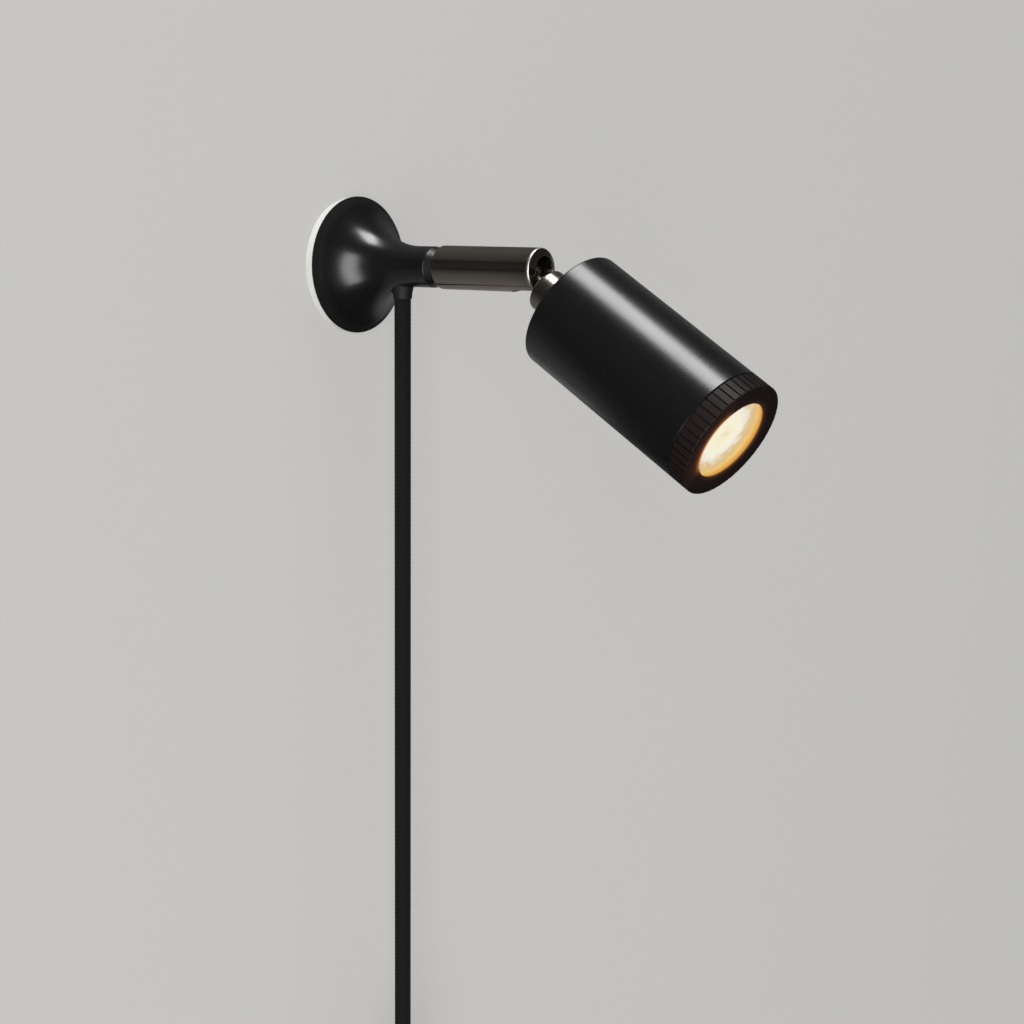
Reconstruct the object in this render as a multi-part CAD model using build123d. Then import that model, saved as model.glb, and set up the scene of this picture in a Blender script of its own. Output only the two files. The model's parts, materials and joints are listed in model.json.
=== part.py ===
from build123d import *
import os
from math import atan2, cos, hypot, pi, radians, sin, sqrt, tan

# A plug-in wall spotlight that turns on its neck, tilts on a ball in a slotted tube and spins on its stem.
# Millimetres. The origin is on the wall, at the centre of the wall plate's back; -Y points out into the
# room, +Z up and +X to the right of someone who faces the wall. The light is shown as it hangs in use.

# ---------------------------------------------------------------- driving dimensions
PLATE_T = 3.5  # wall plate's thickness
PLATE_R = 25.7
RIM_R = 26.1  # the black base's widest circle
LIP_R = 14.0  # rounded lip inside the rim
FLARE_R = 33.0  # the trumpet's hollow curve
FLARE_END = 30.8  # where the trumpet becomes the straight neck, from the rim
NECK_R = 7.7
NECK_END = 39.1
BASE_WALL = 1.4

HOOK_R = 16.6  # the boss on the wall plate that the base hooks on
HOOK_REACH = 1.8
BOSS_TOP = 4.0
HOOK_LOW = 2.9
SCREW_SPACING = 23.0
SCREW_R = 2.2
SCREW_HEAD_R = 4.2

CORD_R = 3.2  # round textile cord
CORD_OUT = 22.5  # where the cord leaves the neck, from the rim
GLAND_R = 4.3
GLAND_LOW = -12.2

NIPPLE_R = 4.0  # hollow pivot between neck and arm
NIPPLE_BORE = 2.6
SWIVEL_GAP = 0.3
TUBE_R = 8.1  # arm tube
TUBE_BORE = 6.75
SOCKET_BORE = 6.2
TUBE_START = 43.0
TUBE_EDGE = 88.7  # where the straight tube ends and the rounded nose begins
NOSE_END = 90.3
MOUTH_R = 4.8
SLOT_W = 6.6
SLOT_BACK = 3.45  # slot's end behind the ball's centre

BALL_AT = 79.71  # ball's centre, from the rim
BALL_R = 6.0
BALL_GAP = 0.05  # running clearance in the socket
STEM_R = 2.95
SHANK_R = 2.6
LEAD_BORE = 1.85
TILT = 31.46  # degrees below level, as shown

COLLAR_BACK = 12.4  # these are measured along the head from the ball's centre
HEAD_BACK = 26.6
HEAD_FRONT = 98.6
RING_BACK = 98.9
RING_FRONT = 106.45
RING_PLATE = 2.4  # thickness of the ring's front
HEAD_R = 22.5
HEAD_WALL = 1.8
BACK_WALL = 2.5
OPENING_R = 15.3
RIBS = 48
GROOVE_W = 0.65
GROOVE_DEEP = 0.5

LAMP_R = 17.5  # 35 mm reflector lamp with a twist-lock cap
LAMP_BACK = 57.0
LAMP_FRONT = 103.6
LENS_R = 11.3
PIN_RADIUS = 5.0  # lamp pins' distance from the axis
PIN_SHANK = 1.55
PIN_HEAD = 2.5
TWIST = 28.0  # degrees that unlock the lamp

SWITCH_TOP = -308.0  # in-line switch, below the stretch of cord in view
SWITCH_LONG = 62.0
SWITCH_W = 24.0
SWITCH_FRONT = 9.0  # half depths of its two shells
SWITCH_REAR = 8.0
ROCKER_TILT = 7.0
LEAD_RUN = 30.0  # straight cord under the switch

COIL_PITCH = 7.95  # from turn to turn
COIL_LAYER = 8.45  # from layer to layer
COIL_START = 49.8  # radius where the coil's first full half turn begins
HALF_TURNS_IN = 6
HALF_TURNS_OUT = 5
COIL_ENTRY = 135.0  # degrees round the coil where the cord joins it
TAIL = 19.8  # cord between the coil and the plug

# ---------------------------------------------------------------- frames that pieces are drawn in
CORD_Y = -PLATE_T - CORD_OUT
# Z runs out of the wall along the arm from the rim's plane, Y is up
ARM = Plane(origin=(0, -PLATE_T, 0), x_dir=(1, 0, 0), z_dir=(0, -1, 0))
# Z runs along the head from the ball's centre, Y is up along its back
HEAD = Plane(
    origin=(0, -PLATE_T - BALL_AT, 0),
    x_dir=(1, 0, 0),
    z_dir=(0, -cos(radians(TILT)), -sin(radians(TILT))),
)


def save(shape, node, frame=Plane.XY):
    """Put a piece from its own frame into the light's and write it."""
    export_step(frame.location * shape, f"parts/{node}.step")


def turned(*outline):
    """A solid turned about Z from a closed outline of (radius, height) points or of edges."""
    if isinstance(outline[0], tuple):
        outline = [Polyline(*outline, close=True)]
    return revolve(Plane.XZ * make_face(Curve() + list(outline)), Axis.Z)


def rod(radius, low, high, x=0.0, y=0.0):
    """A round bar along Z."""
    height = high - low
    return Pos(x, y, low) * Cylinder(radius, height, align=(Align.CENTER, Align.CENTER, Align.MIN))


def tube(outer, inner, low, high):
    return rod(outer, low, high) - rod(inner, low, high)


def block(x, y, z):
    """A box from three (low, high) pairs."""
    size = [high - low for low, high in (x, y, z)]
    return Pos(x[0], y[0], z[0]) * Box(*size, align=(Align.MIN, Align.MIN, Align.MIN))


def hexagon(across_flats, low, high):
    face = RegularPolygon(across_flats / 2, 6, major_radius=False)
    return Pos(0, 0, low) * extrude(face, high - low)


def two_wires(*edges, radius=0.8, apart=0.85):
    """The two insulated wires along a path drawn in the YZ plane."""
    wires = []
    for x in (-apart, apart):
        path = Wire([Pos(x, 0, 0) * edge for edge in edges])
        wires.append(sweep(Plane(origin=path @ 0, z_dir=path % 0) * Circle(radius), path=path))
    return Compound(children=wires)


# ---------------------------------------------------------------- wall plate and base
def trumpet_arcs(wall):
    """The lip and flare arcs at a depth under the base's outside: start, meeting point, end, both radii and both
    centres. The arcs are tangent where the line between their centres crosses them."""
    flare_r, flare_z = NECK_R + FLARE_R, FLARE_END
    span = hypot(flare_r - RIM_R, flare_z)
    along = (LIP_R**2 - (LIP_R + FLARE_R) ** 2 + span**2) / (2 * span)
    off = sqrt(LIP_R**2 - along**2)
    ur, uz = (flare_r - RIM_R) / span, flare_z / span
    lip_r, lip_z = RIM_R + along * ur - off * uz, along * uz + off * ur
    lip, flare = LIP_R - wall, FLARE_R + wall
    share = lip / (LIP_R + FLARE_R)
    meet = (lip_r + (flare_r - lip_r) * share, lip_z + (flare_z - lip_z) * share)
    start = (lip_r + sqrt(lip**2 - lip_z**2), 0)
    end = (NECK_R - wall, FLARE_END)
    return start, meet, end, lip, flare, (lip_r, lip_z), (flare_r, flare_z)


def inside_radius(z):
    """The trumpet's inside radius at a distance from the rim."""
    _, meet, _, lip, flare, (lip_r, lip_z), (flare_r, flare_z) = trumpet_arcs(BASE_WALL)
    if z < meet[1]:
        return lip_r + sqrt(lip**2 - (z - lip_z) ** 2)
    return flare_r - sqrt(flare**2 - (flare_z - z) ** 2)


def bulge(start, end, radius, outward):
    """An arc between two points of an outline, bulging away from the axis or towards it."""
    (r0, z0), (r1, z1) = start, end
    chord = hypot(r1 - r0, z1 - z0)
    sagitta = radius - sqrt(radius**2 - chord**2 / 4)
    side = 1 if outward else -1
    middle = (
        (r0 + r1) / 2 + side * sagitta * abs(z1 - z0) / chord,
        (z0 + z1) / 2 + side * sagitta * abs(r1 - r0) / chord,
    )
    return ThreePointArc(start, middle, end)


def base_shell():
    start, meet, end, lip, flare, *_ = trumpet_arcs(0)
    in_start, in_meet, in_end, in_lip, in_flare, *_ = trumpet_arcs(BASE_WALL)
    bevel = 0.3
    shell = turned(
        Line(in_start, start),
        bulge(start, meet, lip, True),
        bulge(meet, end, flare, False),
        Line(end, (NECK_R, NECK_END - bevel)),
        Line((NECK_R, NECK_END - bevel), (NECK_R - bevel, NECK_END)),
        Line((NECK_R - bevel, NECK_END), (in_end[0], NECK_END)),
        Line((in_end[0], NECK_END), in_end),
        bulge(in_end, in_meet, in_flare, False),
        bulge(in_meet, in_start, in_lip, True),
    )
    hole = Pos(0, -NECK_R, CORD_OUT) * Rot(90, 0, 0) * Cylinder(GLAND_R + 0.05, 12)
    return shell - hole


def hooks(inner, outer, low, high, width):
    """Three ring sectors round the axis, one at the top."""
    ring = tube(outer, inner, low, high)
    wedge = Polyline(
        (0, 0),
        (40 * sin(radians(-width / 2)), 40 * cos(radians(width / 2))),
        (40 * sin(radians(width / 2)), 40 * cos(radians(width / 2))),
        close=True,
    )
    sector = Pos(0, 0, low) * extrude(make_face(wedge), high - low)
    return [Rot(0, 0, turn) * (ring & sector) for turn in (0, 120, 240)]


def wall_plate():
    recess_r = 6.0
    plate = fillet(rod(PLATE_R, -PLATE_T, 0).edges().sort_by(Axis.Z)[-1], 0.6)
    plate += tube(HOOK_R, recess_r, 0, BOSS_TOP)
    for hook in hooks(HOOK_R - 2, HOOK_R + HOOK_REACH, HOOK_LOW, BOSS_TOP, 30):
        plate += hook
    countersink = Cone(SCREW_R, SCREW_HEAD_R, 2.2, align=(Align.CENTER, Align.CENTER, Align.MAX))
    for x in (-SCREW_SPACING / 2, SCREW_SPACING / 2):
        plate -= rod(SCREW_R, -PLATE_T, BOSS_TOP, x)
        plate -= Pos(x, 0, BOSS_TOP) * countersink
    return plate


def base_ring():
    """Steel ring inside the rim, whose three notches pass the wall plate's hooks before the turn that locks it."""
    low, high = 0.9, HOOK_LOW - 0.2
    ring = turned(
        (HOOK_R + 0.3, low),
        (inside_radius(low) - 0.3, low),
        (inside_radius(high) - 0.02, high),
        (HOOK_R + 0.3, high),
    )
    for notch in hooks(HOOK_R - 2, HOOK_R + HOOK_REACH + 0.3, low - 1, high + 1, 34):
        ring -= Rot(0, 0, 60) * notch
    return ring


def cord_gland():
    """Soft bush that the cord leaves by. It narrows in a hollow curve to the cord, so that the cord can bend."""
    high, flush, end_r = -4.7, -7.5, CORD_R + 0.35
    bush = turned(
        Line((CORD_R + 0.02, GLAND_LOW), (end_r, GLAND_LOW)),
        bulge((end_r, GLAND_LOW), (GLAND_R, flush), 18.0, False),
        Line((GLAND_R, flush), (GLAND_R, high)),
        Line((GLAND_R, high), (CORD_R + 0.02, high)),
        Line((CORD_R + 0.02, high), (CORD_R + 0.02, GLAND_LOW)),
    )
    return Pos(0, CORD_Y, 0) * bush


def cord_grip():
    low, high = -4.6, -1.8
    grip = rod(GLAND_R, low, high) - rod(CORD_R + 0.02, low, high)
    hole = Pos(0, 0, (low + high) / 2) * Rot(-90, 0, 0) * rod(0.9, 0, 10)
    return Pos(0, CORD_Y, 0) * (grip - hole)


def grip_screw():
    screw = Rot(-90, 0, 0) * (rod(0.88, CORD_R + 0.05, GLAND_R) + rod(1.5, GLAND_R, GLAND_R + 1.2))
    return Pos(0, CORD_Y, -3.2) * screw


def neck_leads():
    turn = 2.0
    start = (0, -1.5, CORD_OUT)
    out = (0, start[1] + turn, CORD_OUT + turn)
    middle = (0, start[1] + turn * sin(pi / 4), out[2] - turn * cos(pi / 4))
    return two_wires(
        Edge.make_three_point_arc(start, middle, out),
        Edge.make_line(out, (0, out[1], PIVOT_NUT[1])),
    )


# ---------------------------------------------------------------- swivel between neck and arm
PLUG = (TUBE_START, TUBE_START + 5.0)
STOP_WASHER = (PLUG[1] + 0.06, PLUG[1] + 1.26)
PIVOT_NUT = (STOP_WASHER[1], STOP_WASHER[1] + 4.0)
RING_END = TUBE_START - SWIVEL_GAP


def swivel_ring():
    """Tapered ring in the end of the neck."""
    spigot = 34.0
    return turned(
        (NIPPLE_R, spigot),
        (NECK_R - BASE_WALL, spigot),
        (NECK_R - BASE_WALL, NECK_END),
        (NECK_R - 0.1, NECK_END),
        (NECK_R - 1.5, RING_END),
        (NIPPLE_R, RING_END),
    )


def pivot_washer():
    """Its tab meets the stop post on the arm's plug, which keeps the wires from being wound up."""
    tab_w, tab_r = 1.6, 6.3
    washer = rod(4.7, *STOP_WASHER) + block((-tab_w / 2, tab_w / 2), (-tab_r, 0), STOP_WASHER)
    return washer - rod(NIPPLE_R, *STOP_WASHER)


def arm_plug():
    plug = tube(TUBE_BORE, NIPPLE_R + 0.06, *PLUG)
    return plug + rod(0.8, PLUG[1], PLUG[1] + 0.9, y=5.7)


# ---------------------------------------------------------------- arm tube and ball socket
def rounded(corner, before, after, radius):
    """The arc that rounds a corner of an outline, from the side it is reached by to the side it is left by."""
    at = Vector(*corner)
    back, on = (Vector(*before) - at).normalized(), (Vector(*after) - at).normalized()
    half = radians(back.get_angle(on) / 2)
    reach = radius / tan(half)
    middle = at + (back + on).normalized() * (radius / sin(half) - radius)
    start, end = at + back * reach, at + on * reach
    return ThreePointArc((start.X, start.Y), (middle.X, middle.Y), (end.X, end.Y))


def outline_edges(corners, radii):
    """Lines and corner arcs round a closed outline; a radius of 0 leaves a corner sharp."""
    count = len(corners)
    arcs = [
        rounded(corners[i], corners[i - 1], corners[(i + 1) % count], radii[i]) if radii[i] else None
        for i in range(count)
    ]
    edges = []
    for i, corner in enumerate(corners):
        after = (i + 1) % count
        start = arcs[i] @ 1 if arcs[i] else Vector(*corner)
        end = arcs[after] @ 0 if arcs[after] else Vector(*corners[after])
        edges += [arcs[i]] if arcs[i] else []
        edges.append(Line(start, end))
    return edges


def arm_tube():
    """Tube whose nose and slot hold the ball: the slot lets the stem swing straight down."""
    corners = [
        (TUBE_BORE, TUBE_START),
        (TUBE_R, TUBE_START),
        (TUBE_R, TUBE_EDGE),
        (MOUTH_R, NOSE_END),
        (MOUTH_R, BALL_AT),
        (SOCKET_BORE, BALL_AT),
        (SOCKET_BORE, SPRING_STOP[0] - 2),
        (TUBE_BORE, SPRING_STOP[0] - 2),
    ]
    body = turned(*outline_edges(corners, [0, 0.6, 0.9, 0.4, 0, 0, 0, 0]))
    body -= Pos(0, 0, BALL_AT) * Sphere(BALL_R + BALL_GAP)
    slot_end = BALL_AT - SLOT_BACK + SLOT_W / 2
    slot = block((-SLOT_W / 2, SLOT_W / 2), (-TUBE_R - 1, 0), (slot_end, NOSE_END + 1))
    slot += Pos(0, 0, slot_end) * Rot(90, 0, 0) * rod(SLOT_W / 2, 0, TUBE_R + 1)
    return body - slot


SPRING_STOP = (62.0, 65.0)


def spring_stop():
    stop = tube(SOCKET_BORE, 3.0, *SPRING_STOP)
    return stop - block((-SOCKET_BORE, SOCKET_BORE), (-0.5, 0.5), (SPRING_STOP[0], SPRING_STOP[0] + 1))


def seat_springs():
    """Four dished washers, stacked back to back."""
    inner, outer, thick, dish = 3.2, 5.9, 0.5, 0.5
    washers = []
    for turn in range(4):
        low = SPRING_STOP[1] + 0.02 + turn * (thick + dish + 0.02)
        near, far = (0, dish) if turn % 2 == 0 else (dish, 0)
        washers.append(
            turned(
                (inner, low + near),
                (outer, low + far),
                (outer, low + far + thick),
                (inner, low + near + thick),
            )
        )
    return Compound(children=washers)


def ball_seat():
    """Cup that the springs push against the back of the ball."""
    low, high = SPRING_STOP[1] + 4.15, BALL_AT - SLOT_BACK - 0.15
    cup = fillet(rod(SOCKET_BORE - 0.1, low, high).edges().sort_by(Axis.Z)[0], 0.4)
    return cup - rod(2.4, low, high) - Pos(0, 0, BALL_AT) * Sphere(BALL_R + BALL_GAP)


def arm_leads():
    return two_wires(Edge.make_line((0, 0, PIVOT_NUT[1] + 1), (0, 0, BALL_AT - BALL_R - 0.7)))


# ---------------------------------------------------------------- ball stud, and what clamps the head on it
STUD_END = 35.6
STUD_WASHER = (HEAD_BACK + BACK_WALL + 0.1, HEAD_BACK + BACK_WALL + 0.9)
STUD_NUT = (STUD_WASHER[1], STUD_WASHER[1] + 3.6)


def ball_stud():
    shoulder = COLLAR_BACK - 0.1
    stud = Sphere(BALL_R) + rod(STEM_R, 0, shoulder) + rod(SHANK_R, shoulder, STUD_END)
    return stud - rod(LEAD_BORE, -BALL_R - 1, STUD_END)


def stud_leads():
    return two_wires(Edge.make_line((0, 0, -BALL_R + 0.9), (0, 0, STUD_END)))


# ---------------------------------------------------------------- head
def head_collar():
    rounding = 1.5
    collar = fillet(rod(TUBE_R, COLLAR_BACK, HEAD_BACK).edges().sort_by(Axis.Z)[0], rounding)
    return collar - rod(SHANK_R + 0.08, COLLAR_BACK, HEAD_BACK)


SPIGOT_R = HEAD_R - HEAD_WALL - 0.4
SPIGOT_BACK = 91.0
BRACKET = (HEAD_BACK + BACK_WALL, 39.5)
FOOT_X = 15.0


def head_shell():
    """Deep cup, with a rounded back edge, that the front ring screws into."""
    rounding, bevel = 0.6, 0.35
    shell = fillet(rod(HEAD_R, HEAD_BACK, HEAD_FRONT).edges().sort_by(Axis.Z)[0], rounding)
    shell = chamfer(shell.edges().sort_by(Axis.Z)[-1], bevel)
    shell -= rod(HEAD_R - HEAD_WALL, HEAD_BACK + BACK_WALL, HEAD_FRONT)
    shell -= rod(SHANK_R + 0.08, HEAD_BACK, HEAD_BACK + BACK_WALL)
    for x in (-FOOT_X, FOOT_X):
        shell -= rod(1.25, HEAD_BACK + 0.7, HEAD_BACK + BACK_WALL, x)
    return shell


def holder_bracket():
    """Bent strip that stands the lamp holder over the stud's nut."""
    wide, thick, leg, foot = 14.0, 1.0, 12.0, 18.5
    low, high = BRACKET
    strip = block((-leg, leg), (-wide / 2, wide / 2), (high - thick, high))
    for side in (-1, 1):
        riser = sorted((side * (leg - thick), side * leg))
        pad = sorted((side * (leg - thick), side * foot))
        strip += block(riser, (-wide / 2, wide / 2), (low, high))
        strip += block(pad, (-wide / 2, wide / 2), (low, low + thick))
        strip -= rod(1.3, low, low + thick, side * FOOT_X)
        strip -= rod(1.3, high - thick, high, side * HOLDER_SCREW_X)
    return strip - rod(3.2, high - thick, high)


HOLDER_SCREW_X = 8.2


def bracket_screws():
    low = BRACKET[0]
    screws = []
    for x in (-FOOT_X, FOOT_X):
        screw = rod(1.24, HEAD_BACK + 0.8, low + 1, x) + rod(2.4, low + 1, low + 2.6, x)
        screws.append(screw - block((x - 2.4, x + 2.4), (-0.35, 0.35), (low + 2.0, low + 2.6)))
    return Compound(children=screws)


def holder_screws():
    plate = BRACKET[1] - 1.0
    screws = []
    for x in (-HOLDER_SCREW_X, HOLDER_SCREW_X):
        screws.append(rod(1.24, plate, 44.0, x) + rod(2.3, plate - 1.5, plate, x))
    return Compound(children=screws)


HOLDER = (BRACKET[1], 56.5)
HOLDER_FACE = 3.2


def lamp_holder():
    """Ceramic holder with two keyhole slots, which the lamp's pins enter and twist along."""
    low, high = HOLDER
    body = fillet(rod(12.5, low, high).edges().sort_by(Axis.Z)[-1], 1.0)
    body -= rod(8.4, 46.5, high - HOLDER_FACE)
    body -= rod(2.2, low, 46.5)
    for x in (-HOLDER_SCREW_X, HOLDER_SCREW_X):
        body -= rod(1.25, low, 44.2, x)
    slot_w = 2 * PIN_SHANK + 0.6
    keyhole = SlotArc(CenterArc((0, 0), PIN_RADIUS, 0, TWIST), slot_w)
    entry = Rot(0, 0, TWIST) * Pos(PIN_RADIUS, 0) * Circle(PIN_HEAD + 0.3)
    for side in (0, 180):
        cut = Rot(0, 0, side) * (keyhole + entry)
        body -= Pos(0, 0, high - HOLDER_FACE) * extrude(cut, HOLDER_FACE)
    return body


def holder_contacts():
    low, high, thick = 46.55, 50.65, 0.5
    leaves = []
    for side in (0, 180):
        leaf = block((2.4, 7.4), (-2.0, 2.0), (low, low + thick))
        leaf += block((7.4 - thick, 7.4), (-2.0, 2.0), (low, high))
        leaf += block((3.4, 7.4), (-2.0, 2.0), (high - thick, high))
        leaves.append(Rot(0, 0, side) * leaf)
    return Compound(children=leaves)


def head_leads():
    return two_wires(Edge.make_line((0, 0, STUD_END + 0.6), (0, 0, 46.4)))


def front_ring():
    """Screw-in ring: ribs that a hand turns, a flat front with the opening, and a spigot that screws into the head."""
    rounding, spigot_bore = 0.4, 18.4
    ring = fillet(rod(HEAD_R, RING_BACK, RING_FRONT).edges().sort_by(Axis.Z)[-1], rounding)
    ring += rod(SPIGOT_R, SPIGOT_BACK, RING_BACK)
    ring -= rod(spigot_bore, SPIGOT_BACK, RING_FRONT - RING_PLATE)
    ring -= rod(OPENING_R, RING_FRONT - RING_PLATE, RING_FRONT)
    ring = chamfer(ring.edges().filter_by(GeomType.CIRCLE).group_by(Axis.Z)[-1].sort_by(SortBy.RADIUS)[0], 0.2)
    groove = block((-GROOVE_W / 2, GROOVE_W / 2), (HEAD_R - GROOVE_DEEP, HEAD_R + 1), (RING_BACK, RING_FRONT + 1))
    return ring - [Rot(0, 0, rib * 360 / RIBS) * groove for rib in range(RIBS)]


# ---------------------------------------------------------------- lamp
REFLECTOR_LOW = 68.0
REFLECTOR_RIM = 98.0


def lamp_cap():
    cap = turned(
        (0, LAMP_BACK),
        (9.4, LAMP_BACK),
        (10.0, LAMP_BACK + 0.6),
        (10.0, LAMP_BACK + 6.0),
        (11.2, LAMP_BACK + 8.0),
        (11.2, REFLECTOR_LOW),
        (0, REFLECTOR_LOW),
    )
    return cap


def lamp_pins():
    head = (50.8, 52.6)
    pins = []
    for x in (-PIN_RADIUS, PIN_RADIUS):
        pins.append(rod(PIN_SHANK, head[1], LAMP_BACK, x) + rod(PIN_HEAD, *head, x))
    return Compound(children=pins)


def lamp_reflector():
    """Bowl of the lamp, open at the front, where the lamp face closes it."""
    wall = 1.0
    return turned(
        Line((0, REFLECTOR_LOW), (11.2, REFLECTOR_LOW)),
        ThreePointArc((11.2, REFLECTOR_LOW), (15.6, 82.0), (LAMP_R, REFLECTOR_RIM)),
        Line((LAMP_R, REFLECTOR_RIM), (LAMP_R, LAMP_FRONT)),
        Line((LAMP_R, LAMP_FRONT), (LAMP_R - wall, LAMP_FRONT)),
        Line((LAMP_R - wall, LAMP_FRONT), (LAMP_R - wall, REFLECTOR_RIM)),
        ThreePointArc((LAMP_R - wall, REFLECTOR_RIM), (14.6, 82.3), (10.2, REFLECTOR_LOW + wall)),
        Line((10.2, REFLECTOR_LOW + wall), (0, REFLECTOR_LOW + wall)),
        Line((0, REFLECTOR_LOW + wall), (0, REFLECTOR_LOW)),
    )


def lamp_face():
    """Front of the lamp: a domed lens in a frosted rim that slopes down to it."""
    edge, low, high = LAMP_R - 1.05, LAMP_FRONT - 2.4, LAMP_FRONT - 0.5
    foot, lens_edge, rise = high - 0.9, high - 0.65, 0.55
    dome = (LENS_R**2 + rise**2) / (2 * rise)
    top = lens_edge + rise
    return turned(
        Line((0, low), (edge, low)),
        Line((edge, low), (edge, high)),
        Line((edge, high), (LENS_R + 0.5, foot)),
        Line((LENS_R + 0.5, foot), (LENS_R, foot)),
        Line((LENS_R, foot), (LENS_R, lens_edge)),
        ThreePointArc((LENS_R, lens_edge), (LENS_R / 2, top - dome + sqrt(dome**2 - LENS_R**2 / 4)), (0, top)),
        Line((0, top), (0, low)),
    )


# ---------------------------------------------------------------- cord, switch, coil and plug
def cord_tube(points, radii):
    """The cord along straight runs joined by arcs, with a check of its volume."""
    path = FilletPolyline(*points, radius=radii) if radii else Line(*points)
    path = path.wire() if radii else Wire([path])
    solid = sweep(Plane(origin=path @ 0, z_dir=path % 0) * Circle(CORD_R), path=path)
    print(f"  length {path.length:.1f}, volume / (section x length) {solid.volume / (pi * CORD_R**2 * path.length):.4f}")
    return solid


def arc_radius(before, corner, after):
    """Radius of a cord's bend: 0.45 of the shorter run, over the tangent of half the turn."""
    a, b = Vector(*corner) - Vector(*before), Vector(*after) - Vector(*corner)
    radius = 0.45 * min(a.length, b.length) / tan(radians(a.get_angle(b) / 2))
    print(f"  bend radius {radius:.1f} mm, {radius / (2 * CORD_R):.1f} diameters")
    return radius


SWITCH_LOW = SWITCH_TOP - SWITCH_LONG
FIRST_R = COIL_START + COIL_PITCH / 4  # radius of the half turn that the cord joins
FIRST_X = COIL_PITCH / 4  # and its centre, beside the coil's
JOIN_RISE = FIRST_R / cos(radians(COIL_ENTRY - 90)) - FIRST_X  # corner above the coil's centre
COIL_Z = SWITCH_LOW - LEAD_RUN - JOIN_RISE
COIL_END = 2 * CORD_R  # straight stretch at each end of the coil


def coil_edges():
    """The coil's centre line: in by half turns, across to the front layer, and out again."""
    layer = [CORD_Y, CORD_Y - COIL_LAYER]

    def spot(x, z, front=0.0):
        return Vector(x, layer[0] + front * (layer[1] - layer[0]), COIL_Z + z)

    entry = radians(COIL_ENTRY)
    join = spot(FIRST_X + FIRST_R * cos(entry), FIRST_R * sin(entry))
    back = Vector(sin(entry), 0, -cos(entry)) * COIL_END
    radius, side = COIL_START, -1  # side -1 is the left end of a half turn, +1 the right end
    middle = (entry + pi) / 2
    edges = [
        Edge.make_line(join + back, join),
        Edge.make_three_point_arc(
            join, spot(FIRST_X + FIRST_R * cos(middle), FIRST_R * sin(middle)), spot(-radius, 0)
        ),
    ]

    def half_turn(radius, side, change, front):
        new = radius + change
        centre, r = side * (radius - new) / 2, (radius + new) / 2
        start, end = spot(side * radius, 0, front), spot(-side * new, 0, front)
        edges.append(Edge.make_three_point_arc(start, spot(centre, side * r, front), end))
        return new, -side

    for _ in range(HALF_TURNS_IN):
        radius, side = half_turn(radius, side, -COIL_PITCH / 2, 0)
    # the half turn that changes layer is two quarter arcs, tangent to each other at its lowest point
    start, end = spot(side * radius, 0, 0), spot(-side * radius, 0, 1)
    low = spot(0, side * sqrt(radius**2 + COIL_LAYER**2 / 4), 0.5)
    for near, far in ((start, low), (end, low)):
        heading = Vector(0, 0, side)
        chord = far - near
        along = chord.dot(heading)
        sideways = (chord - heading * along).length
        r = chord.length**2 / (2 * sideways)
        across = (chord - heading * along).normalized()
        half = atan2(along, r - sideways) / 2
        on_arc = near + across * (r - r * cos(half)) + heading * (r * sin(half))
        ends = (near, far) if near == start else (far, near)
        edges.append(Edge.make_three_point_arc(ends[0], on_arc, ends[1]))
    side = -side
    for _ in range(HALF_TURNS_OUT):
        radius, side = half_turn(radius, side, COIL_PITCH / 2, 1)
    last = spot(side * radius, 0, 1)
    edges.append(Edge.make_line(last, last - Vector(0, 0, COIL_END)))
    return edges


def least_gap(wire):
    """The least gap between turns, from points a millimetre apart that are over a third of a turn from each other."""
    count = int(wire.length)
    points = [wire @ (i / count) for i in range(count + 1)]
    apart = int(2 * pi * 26 / 3)
    nearest = min(
        (points[i] - points[j]).length
        for i in range(0, count + 1, 2)
        for j in range(i + apart, count + 1, 2)
    )
    return nearest - 2 * CORD_R


def cord_coil():
    path = Wire(coil_edges())
    solid = sweep(Plane(origin=path @ 0, z_dir=path % 0) * Circle(CORD_R), path=path)
    print(f"  coil length {path.length:.1f}, least gap {least_gap(path):.2f} mm")
    print(f"  volume / (section x length) {solid.volume / (pi * CORD_R**2 * path.length):.4f}")
    return solid


def cord_drop():
    return cord_tube([(0, CORD_Y, -1.6), (0, CORD_Y, SWITCH_TOP)], [])


def cord_lead():
    start = (0, CORD_Y, SWITCH_LOW)
    corner = (0, CORD_Y, SWITCH_LOW - LEAD_RUN)
    first = coil_edges()[0] @ 0
    end = (first.X, first.Y, first.Z)
    return cord_tube([start, corner, end], [arc_radius(start, corner, end)])


def coil_last():
    return coil_edges()[-1] @ 1


def cord_tail():
    top = coil_last()
    return cord_tube([(top.X, top.Y, top.Z), (top.X, top.Y, top.Z - TAIL)], [])


def coil_tie():
    """Strap round all the turns, just after the cord joins them."""
    angle, wide, thick = radians(COIL_ENTRY + 23), 9.0, 0.9
    turns_in, turns_out = COIL_START - HALF_TURNS_IN * COIL_PITCH / 2, COIL_START + 0.6
    long = turns_out - turns_in + 2 * CORD_R + 0.8
    deep = COIL_LAYER + 2 * CORD_R + 0.8
    middle = (turns_in + turns_out) / 2
    frame = Plane(
        origin=(middle * cos(angle), CORD_Y - COIL_LAYER / 2, COIL_Z + middle * sin(angle)),
        x_dir=(cos(angle), 0, sin(angle)),
        z_dir=(-sin(angle), 0, cos(angle)),
    )
    outer = RectangleRounded(long + 2 * thick, deep + 2 * thick, CORD_R + thick)
    strap = extrude(outer - RectangleRounded(long, deep, CORD_R), wide / 2, both=True)
    end = block((-7, 8), (-deep / 2 - 2 * thick - 0.05, -deep / 2 - thick), (-wide / 2, wide / 2))
    return frame.location * (strap + end)


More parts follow.
